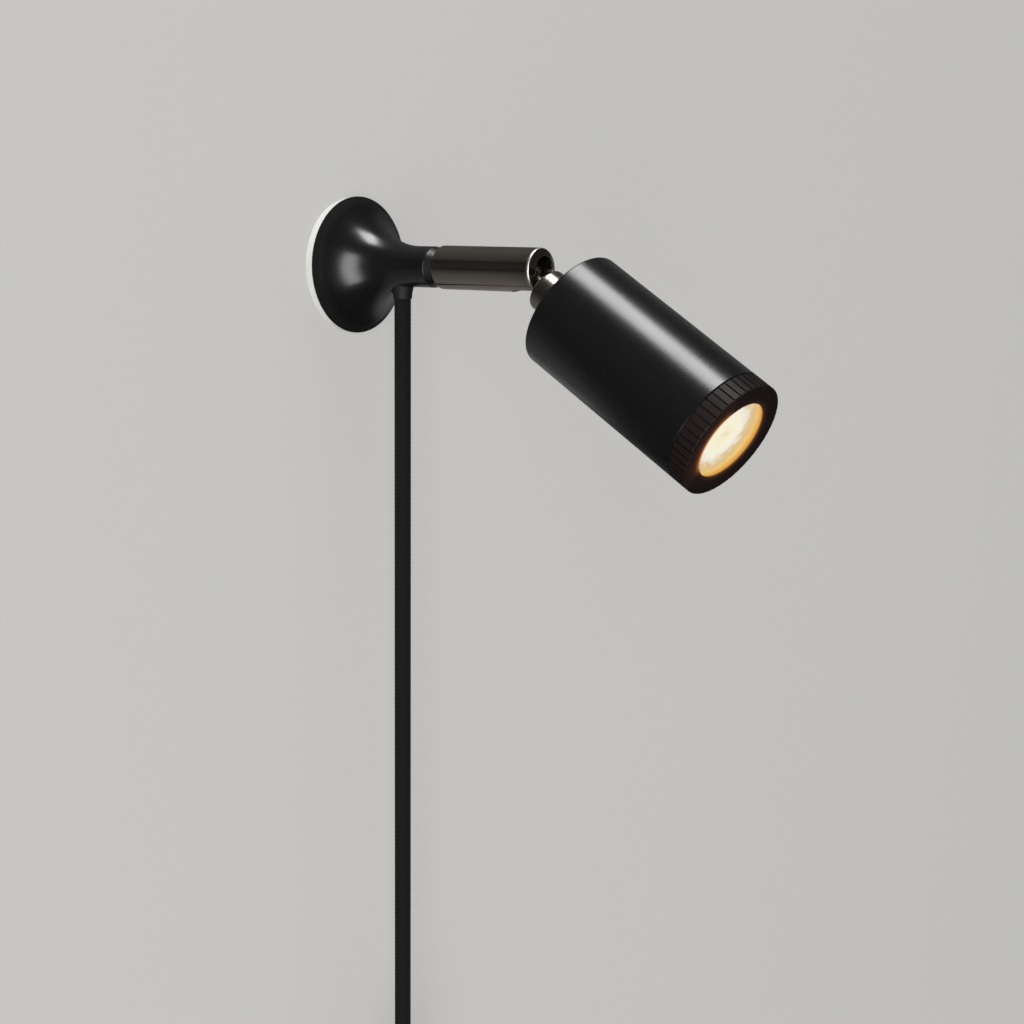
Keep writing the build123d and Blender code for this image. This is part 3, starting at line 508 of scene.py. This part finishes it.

# %% [markdown]
# The opening in the front ring is lit by the lamp right behind it, far more strongly than any light in the
# room could. That light is painted on: the paint gives off an amber glow of its own, darkest at the front
# edge and palest by the lamp. On the ring's flat front a weaker painted glow shows on the left side only, and
# fades within a few millimetres. The ribs round the outside don't glow.

# %% Ring paint with the lamp's light painted on
FRONT_Y, BEHIND_Y = -106.45, -103.4  # mm along the head: the ring's front, and where the glow is palest
FACE_Y = -106.1  # all that lies in front of this is the flat front
OPENING_R, FADED_R = 15.5, 21.5  # mm from the axis: the opening, and the end of the glow on the front
BORE_R = 19.5  # the glow inside the ring stays within this
RING_GLOW = 0.97  # strength of the glow, where 1 is as bright as its hex code
GLOW_LEFT_X, GLOW_RIGHT_X = -14.5, -9.0  # mm, both left of the axis: the front's glow dies away between them
IN_THE_OPENING = ((0.0, "#1E1510"), (0.09, "#2E1E12"), (0.16, "#6E421C"), (0.3, "#CE9044"), (0.46, "#E2A748"),
                  (0.64, "#E7B660"), (0.8, "#E4B66C"), (1.0, "#E2BA7E"))
ON_THE_FRONT = ((0.0, "#E0A060"), (0.08, "#C08040"), (0.16, "#8A4E22"), (0.3, "#4A2412"), (0.6, "#22110C"),
                (1.0, "#140A08"))


def paint_with_painted_lamp_glow():
    material = powder_coat("black_powder_coat_with_painted_lamp_glow", ("#181010", "#1C1312"), 0.5)
    tree = material.node_tree
    shader = tree.nodes["Principled BSDF"]
    shader.inputs["Specular IOR Level"].default_value = 0.2
    spot, _, radius = round_the_axis(tree, pattern(tree, ALONG_HEAD, ONE_MM))
    depth = node(tree, "ShaderNodeMapRange", Value=spot["Y"], From_Min=FRONT_Y, From_Max=BEHIND_Y)
    inner = ramp(tree, depth.outputs[0], IN_THE_OPENING)
    spread = node(tree, "ShaderNodeMapRange", Value=radius, From_Min=OPENING_R, From_Max=FADED_R)
    outer = ramp(tree, spread.outputs[0], ON_THE_FRONT)
    side = node(tree, "ShaderNodeMapRange", {"interpolation_type": "SMOOTHSTEP"}, Value=spot["X"],
                From_Min=GLOW_LEFT_X, From_Max=GLOW_RIGHT_X, To_Min=1.0, To_Max=0.04)
    lit = node(tree, "ShaderNodeMix", {"data_type": "RGBA", "blend_type": "MULTIPLY"}, Factor=1.0, _6=outer,
               _7=side.outputs[0])
    wide = node(tree, "ShaderNodeMath", {"operation": "GREATER_THAN"}, _0=radius, _1=OPENING_R - 0.01)
    front = node(tree, "ShaderNodeMath", {"operation": "LESS_THAN"}, _0=spot["Y"], _1=FACE_Y)
    both = node(tree, "ShaderNodeMath", {"operation": "MULTIPLY"}, _0=wide.outputs[0], _1=front.outputs[0])
    glow = node(tree, "ShaderNodeMix", {"data_type": "RGBA"}, Factor=both.outputs[0], _6=inner,
                _7=lit.outputs[2])
    inside = node(tree, "ShaderNodeMath", {"operation": "LESS_THAN"}, _0=radius, _1=BORE_R)
    glows = node(tree, "ShaderNodeMath", {"operation": "MAXIMUM"}, _0=inside.outputs[0], _1=front.outputs[0])
    strength = node(tree, "ShaderNodeMath", {"operation": "MULTIPLY"}, _0=glows.outputs[0], _1=RING_GLOW)
    # the glow is painted light, given off by the paint as emission
    tree.links.new(glow.outputs[2], shader.inputs["Emission Color"])
    tree.links.new(strength.outputs[0], shader.inputs["Emission Strength"])
    return material


ring_paint = paint_with_painted_lamp_glow()
print("glow from the ring's front", FRONT_Y, "to", BEHIND_Y, "mm along the head")

# %% [markdown]
# Black nickel: a dark, slightly warm nickel plate on polished brass. The arm is a drawn tube that was
# polished lengthwise, and the collar, the ball and the swivel ring were turned and polished on a lathe, so
# the finest marks run along the one and round the others. Real marks are a few hundredths of a millimetre
# wide, too fine to show, so they are drawn about ten times coarser. Wide soft patches are where the plate
# has tarnished a little.

# %% Black nickel
DRAWN = (0.35, 40.0, 0.35)  # mm, long marks along the tube
TURNED = (60.0, 0.25, 60.0)  # mm, marks that go round
TARNISH = (6.0, 14.0, 6.0)  # mm


def black_nickel(name, turn, grain, roughness, tones=("#8C847B", "#98918A")):
    material, tree, shader = new_material(name, Metallic=1.0, Roughness=roughness)
    marks = node(tree, "ShaderNodeTexNoise", Vector=pattern(tree, turn, grain), Scale=1.0, Detail=3.0)
    tarnish = node(tree, "ShaderNodeTexNoise", Vector=pattern(tree, turn, TARNISH), Scale=1.0, Detail=2.0)
    tone = node(tree, "ShaderNodeMix", {"data_type": "RGBA"}, Factor=tarnish.outputs["Fac"],
                _6=colour(tones[0]), _7=colour(tones[1]))
    streaks = node(tree, "ShaderNodeMapRange", Value=marks.outputs["Fac"], From_Min=0.3, From_Max=0.7,
                   To_Min=0.88, To_Max=1.0)
    base = node(tree, "ShaderNodeMix", {"data_type": "RGBA", "blend_type": "MULTIPLY"}, Factor=1.0,
                _6=tone.outputs[2], _7=streaks.outputs[0])
    rough = node(tree, "ShaderNodeMapRange", Value=marks.outputs["Fac"], To_Min=roughness * 0.7,
                 To_Max=roughness * 1.3)
    bump = node(tree, "ShaderNodeBump", Height=marks.outputs["Fac"], Strength=0.1, Distance=0.01 * MM)
    tree.links.new(base.outputs[2], shader.inputs["Base Color"])
    tree.links.new(rough.outputs[0], shader.inputs["Roughness"])
    tree.links.new(bump.outputs[0], shader.inputs["Normal"])
    return material


head_nickel = black_nickel("black_nickel_turned_head", ALONG_HEAD, TURNED, 0.26)
ring_nickel = black_nickel("black_nickel_deep", ALONG_ARM, TURNED, 0.3, ("#605D59", "#6B6864"))
print("turned nickel:", head_nickel.name, "and", ring_nickel.name)

# %% [markdown]
# Where the tube's side turns into its nose, the edge carries a painted highlight, pale and soft. A second,
# brighter metal is mixed in over the millimetre of that edge, and not on the lip inside the mouth.

# %% Painted highlight on the arm's nose
EDGE_FRONT_Y, EDGE_BACK_Y = -9.15, -8.05  # mm along the arm from the ball's centre
LIP_R = 7.0  # mm from the arm's axis
EDGE = ((0.0, "#000000"), (0.12, "#FFFFFF"), (0.8, "#FFFFFF"), (1.0, "#000000"))


def tube_with_painted_nose_highlight():
    material = black_nickel("black_nickel_drawn", ALONG_ARM, DRAWN, 0.16)
    tree = material.node_tree
    dark = tree.nodes["Principled BSDF"]
    spot, _, radius = round_the_axis(tree, pattern(tree, ALONG_ARM, ONE_MM))
    along = node(tree, "ShaderNodeMapRange", Value=spot["Y"], From_Min=EDGE_FRONT_Y, From_Max=EDGE_BACK_Y)
    outside = node(tree, "ShaderNodeMath", {"operation": "GREATER_THAN"}, _0=radius, _1=LIP_R)
    on_painted_highlight = node(tree, "ShaderNodeMath", {"operation": "MULTIPLY"}, _0=ramp(tree, along.outputs[0], EDGE),
                   _1=outside.outputs[0])
    # the pale metal is a painted highlight on the nose's rounded edge
    bright = node(tree, "ShaderNodeBsdfPrincipled", Metallic=1.0, Roughness=0.42,
                  Base_Color=colour("#D9D6D0"))
    both = node(tree, "ShaderNodeMixShader", _0=on_painted_highlight.outputs[0], _1=dark.outputs[0], _2=bright.outputs[0])
    end_in(tree, both.outputs[0])
    return material


drawn_nickel = tube_with_painted_nose_highlight()
print("painted edge highlight:", round(EDGE_BACK_Y - EDGE_FRONT_Y, 2), "mm wide")

# %% [markdown]
# The lamp's front is glass over a bright light source: nearly white in the middle, with a frosted rim that
# glows more warmly the further out it is. It is drawn as light that it gives off, in the colours that it
# has to the eye. Faint patches, and fine slanted lines in the frosted rim, keep it from looking like a flat
# disc.

# %% Glowing lamp front
GLASS_R = 17.0  # mm, where the ramp of colours ends
LAMP_GLOW, LINE_GLOW = 0.93, 0.035  # strength of the glow, and what a line adds to it or takes away
PATCHES = 0.28  # patches per mm, so about 3.5 mm across
WANDER = 1.5  # mm by which a patch moves the colours in or out
LINES = 1.1  # mm from line to line
FROST_START_R, FROST_R = 7.0, 12.0  # mm from the axis between which the lines come in
FROM_THE_MIDDLE = ((0.0, "#F0E0B4"), (0.1, "#F8F0CC"), (0.3, "#FBF6DA"), (0.5, "#F8F4E0"),
                   (0.62, "#F3EADA"), (0.71, "#EBDDC4"), (0.78, "#E3CBA0"), (0.86, "#DFBE8A"),
                   (0.93, "#E6C47E"), (1.0, "#ECCB80"))


def lamp_front():
    material, tree, shader = new_material("frosted_lamp_glass", Roughness=0.6)
    shader.inputs["Base Color"].default_value = colour("#2A2824")
    shader.inputs["Specular IOR Level"].default_value = 0.1
    spot, flat, radius = round_the_axis(tree, pattern(tree, ALONG_HEAD, ONE_MM))
    patch = node(tree, "ShaderNodeTexNoise", Vector=flat, Scale=PATCHES, Detail=2.0)
    wander = node(tree, "ShaderNodeMapRange", Value=patch.outputs["Fac"], From_Min=0.3, From_Max=0.7,
                  To_Min=-WANDER, To_Max=WANDER)
    uneven = node(tree, "ShaderNodeMath", _0=radius, _1=wander.outputs[0])
    out = node(tree, "ShaderNodeMapRange", Value=uneven.outputs[0], From_Min=0.0, From_Max=GLASS_R)
    glow = ramp(tree, out.outputs[0], FROM_THE_MIDDLE)
    slanted = node(tree, "ShaderNodeMath", {"operation": "MULTIPLY_ADD"}, _0=spot["Z"], _1=0.6, _2=spot["X"])
    phase = node(tree, "ShaderNodeMath", {"operation": "MULTIPLY"}, _0=slanted.outputs[0], _1=2 * pi / LINES)
    stripes = node(tree, "ShaderNodeMath", {"operation": "SINE"}, _0=phase.outputs[0])
    frosted = node(tree, "ShaderNodeMapRange", {"interpolation_type": "SMOOTHSTEP"}, Value=radius,
                   From_Min=FROST_START_R, From_Max=FROST_R, To_Min=0.0, To_Max=LINE_GLOW)
    faint = node(tree, "ShaderNodeMath", {"operation": "MULTIPLY"}, _0=stripes.outputs[0],
                 _1=frosted.outputs[0])
    strength = node(tree, "ShaderNodeMath", _0=faint.outputs[0], _1=LAMP_GLOW)
    tree.links.new(glow, shader.inputs["Emission Color"])
    tree.links.new(strength.outputs[0], shader.inputs["Emission Strength"])
    return material


lamp_glass = lamp_front()
print("lamp front:", len(FROM_THE_MIDDLE), "tones out to", GLASS_R, "mm")

# %% [markdown]
# Braided textile: black polyester yarn, plaited over the cord's sheath in diamonds that match the tube's
# knobs. The yarn is matt and a little fuzzy, so it has a rough surface with some sheen, and painted shade
# darkens it where one strand dives under the next. Its single fibres are far thinner than the camera can see,
# so the streaks of them are drawn coarser, about a fifth of a millimetre apart.

# %% Braided cord
FIBRES = (90, 5200, 1)  # streaks once round the cord, and per metre along it


def braided():
    material, tree, shader = new_material("braided_polyester", Roughness=0.82)
    shader.inputs["Sheen Weight"].default_value = 0.03
    shader.inputs["Specular IOR Level"].default_value = 0.17
    shader.inputs["Sheen Roughness"].default_value = 0.5
    uv = node(tree, "ShaderNodeUVMap", {"uv_map": "braid"}).outputs[0]
    parts = node(tree, "ShaderNodeSeparateXYZ", Vector=uv).outputs
    waves = []
    for part, count in (("X", SIDES * pi), ("Y", pi / (BRAID * MM))):
        turn = node(tree, "ShaderNodeMath", {"operation": "MULTIPLY"}, _0=parts[part], _1=count)
        waves.append(node(tree, "ShaderNodeMath", {"operation": "COSINE"}, _0=turn.outputs[0]).outputs[0])
    diamond = node(tree, "ShaderNodeMath", {"operation": "MULTIPLY"}, _0=waves[0], _1=waves[1])
    fibre_place = node(tree, "ShaderNodeMapping", Vector=uv, Scale=FIBRES)
    fibre = node(tree, "ShaderNodeTexNoise", Vector=fibre_place.outputs[0], Scale=1.0, Detail=3.0)
    lift = node(tree, "ShaderNodeMapRange", Value=diamond.outputs[0], From_Min=-1.0, From_Max=1.0)
    fuzz = node(tree, "ShaderNodeMath", {"operation": "MULTIPLY_ADD"}, _0=fibre.outputs["Fac"], _1=0.6,
                _2=lift.outputs[0])
    shade = node(tree, "ShaderNodeMapRange", Value=fuzz.outputs[0], From_Min=0.1, From_Max=1.4)
    # where the braid dips its tone is painted darker: painted shade, with the fibres' own tone on top
    tone = node(tree, "ShaderNodeMix", {"data_type": "RGBA"}, Factor=shade.outputs[0], _6=colour("#080808"),
                _7=colour("#151414"))
    bump = node(tree, "ShaderNodeBump", Height=fuzz.outputs[0], Strength=0.5, Distance=0.15 * MM)
    tree.links.new(tone.outputs[2], shader.inputs["Base Color"])
    tree.links.new(bump.outputs[0], shader.inputs["Normal"])
    return material


braided_cord = braided()
cord.data.materials.append(braided_cord)
print("braid:", SIDES // 2, "diamonds round the cord,", 2 * BRAID, "mm long")

# %% [markdown]
# The rest are common finishes that the same few nodes can make: a base colour that varies between two tones
# over a grain of a real size, a roughness that varies with it, and a shallow bump. A mould's grain, a
# plated skin and lathe marks are a tenth of a millimetre and less on the real pieces, so all of them are
# drawn coarser, as the sizes in millimetres beside each name say.

# %% Common finishes
def common(name, tones, grain, roughness, metallic=0.0, depth=0.01, **more):
    """A finish of two tones and two roughnesses, with its grain in mm and the depth of its bump in mm."""
    material, tree, shader = new_material(name, Metallic=metallic)
    for socket, value in more.items():
        shader.inputs[socket.replace("_", " ")].default_value = value
    texture = node(tree, "ShaderNodeTexNoise", Vector=pattern(tree, ALONG_ARM, grain), Scale=1.0, Detail=3.0)
    spread = node(tree, "ShaderNodeMapRange", Value=texture.outputs["Fac"], From_Min=0.25, From_Max=0.75)
    base = node(tree, "ShaderNodeMix", {"data_type": "RGBA"}, Factor=spread.outputs[0], _6=colour(tones[0]),
                _7=colour(tones[1]))
    rough = node(tree, "ShaderNodeMapRange", Value=spread.outputs[0], To_Min=roughness[0],
                 To_Max=roughness[1])
    bump = node(tree, "ShaderNodeBump", Height=spread.outputs[0], Strength=0.5, Distance=depth * MM)
    tree.links.new(base.outputs[2], shader.inputs["Base Color"])
    tree.links.new(rough.outputs[0], shader.inputs["Roughness"])
    tree.links.new(bump.outputs[0], shader.inputs["Normal"])
    return material


finishes = {
    # moulded ABS: an even off-white with a soft sheen and hardly any texture
    "white_plastic": common("white_moulded_abs", ("#CDCCCA", "#D2D1CF"), (0.6,) * 3, (0.42, 0.5)),
    "black_paint": black_paint,
    # the collar's and the ball's nickel; the tube and the swivel ring get their own further down
    "black_nickel": head_nickel,
    # zinc plate: a cool grey metal, clouded and half dull
    "zinc_steel": common("zinc_plated_steel", ("#9C9C98", "#B6B6B0"), (1.6,) * 3, (0.28, 0.42), 1.0),
    # blued spring steel: darker and shinier than the zinc, with fine lines from rolling
    "spring_steel": common("blued_spring_steel", ("#77777A", "#8C8A86"), (3.0, 0.1, 3.0), (0.22, 0.34), 1.0),
    # turned brass: warm yellow, with the lathe's marks going round
    "brass": common("turned_brass", ("#B98F4A", "#CFAE6A"), (2.0, 0.2, 2.0), (0.2, 0.34), 1.0),
    # unfilled nylon: milky, because light goes a little way into it
    "nylon": common("natural_nylon", ("#D3CFC2", "#DEDACE"), (1.2,) * 3, (0.4, 0.52), Subsurface_Weight=0.2),
    # moulded black plastic: a fine matt grain, which tells it from the powder coat
    "black_plastic": common("black_moulded_plastic", ("#131314", "#19191A"), (0.4,) * 3, (0.36, 0.46),
                            depth=0.02),
    # glazed steatite: creamy white under a clear, glossy glaze
    "porcelain": common("glazed_steatite", ("#DDD8CB", "#E9E5DA"), (2.5,) * 3, (0.12, 0.2), Coat_Weight=0.6),
    # unglazed ceramic of the lamp's cap: chalky and matt
    "lamp_ceramic": common("lamp_cap_ceramic", ("#E3DFD5", "#EDEAE2"), (0.8,) * 3, (0.4, 0.55)),
    "lamp_glass": lamp_glass,
    "textile_cord": braided_cord,
}
# soft rubber of the bush: a deep black without shine
rubber = common("soft_black_rubber", ("#0A0A0A", "#101010"), (0.5,) * 3, (0.6, 0.7), depth=0.02)
print("finishes:", sorted(finishes))

# %% [markdown]
# The lamp's bowl is glass with a metal film inside, a mirror with a warm tint. The film stops short of the
# front, and the bare glass of the bowl's last few millimetres lets some of the lamp's light through, so
# there it glows amber.

# %% Lamp bowl with a glowing rim
FILM_END_Y, BARE_Y = -97.0, -101.0  # mm along the head's axis
RIM_GLOW = 0.5  # strength of the bare glass's glow


def lit_bowl():
    material = common("metallised_glass", ("#D8C49A", "#E6D6B2"), (4.0,) * 3, (0.08, 0.14), 1.0,
                      Emission_Color=colour("#E0B070"))
    tree = material.node_tree
    spot = round_the_axis(tree, pattern(tree, ALONG_HEAD, ONE_MM))[0]
    at_rim = node(tree, "ShaderNodeMapRange", Value=spot["Y"], From_Min=FILM_END_Y, From_Max=BARE_Y,
                  To_Min=0.0, To_Max=RIM_GLOW)
    tree.links.new(at_rim.outputs[0], tree.nodes["Principled BSDF"].inputs["Emission Strength"])
    return material


finishes["lamp_mirror"] = lit_bowl()
print("the bowl's film fades over", FILM_END_Y - BARE_Y, "mm")

# %% [markdown]
# Each pair of wires has one brown and one blue cover of soft plastic, satin and without a pattern of its
# own. The wires lie side by side, left and right of the light's middle, so the sign of X picks the colour.
# A fine speckle keeps the colours from being flat.

# %% Wire covers
def wire_cover():
    material, tree, shader = new_material("soft_wire_cover", Roughness=0.5)
    place = node(tree, "ShaderNodeSeparateXYZ", Vector=pattern(tree, ALONG_ARM, ONE_MM))
    side = node(tree, "ShaderNodeMath", {"operation": "GREATER_THAN"}, _0=place.outputs["X"], _1=0.0)
    speck = node(tree, "ShaderNodeTexNoise", Vector=pattern(tree, ALONG_ARM, (0.5,) * 3), Scale=1.0)
    pair = node(tree, "ShaderNodeMix", {"data_type": "RGBA"}, Factor=side.outputs[0], _6=colour("#5B3A24"),
                _7=colour("#2C5B9A"))
    tint = node(tree, "ShaderNodeMapRange", Value=speck.outputs["Fac"], To_Min=0.85, To_Max=1.1)
    base = node(tree, "ShaderNodeMix", {"data_type": "RGBA", "blend_type": "MULTIPLY"}, Factor=1.0,
                _6=pair.outputs[2], _7=tint.outputs[0])
    tree.links.new(base.outputs[2], shader.inputs["Base Color"])
    return material


finishes["wire_cover"] = wire_cover()
print("wire cover:", finishes["wire_cover"].name)

# %% [markdown]
# Every CAD piece now gets the finish of its slot in the record, and five pieces get one of their own,
# because the eye can tell them from others of the same slot: the base with its dull rim, the rubber bush,
# the drawn tube with its painted nose highlight, the darker swivel ring and the front ring with its painted
# lamp glow. The meshes stay as they are.

# %% Finish every CAD node
special = {"base_shell": base_paint, "cord_gland": rubber, "arm_tube": drawn_nickel,
           "swivel_ring": ring_nickel, "front_ring": ring_paint}
slots = {row["node"]: row["material_slot"] for row in frame["record"]["subparts"]}
for name, piece in frame["nodes"].items():
    piece.data.materials.clear()
    piece.data.materials.append(special.get(name) or finishes[slots[name]])
print("finished nodes:", len(slots))
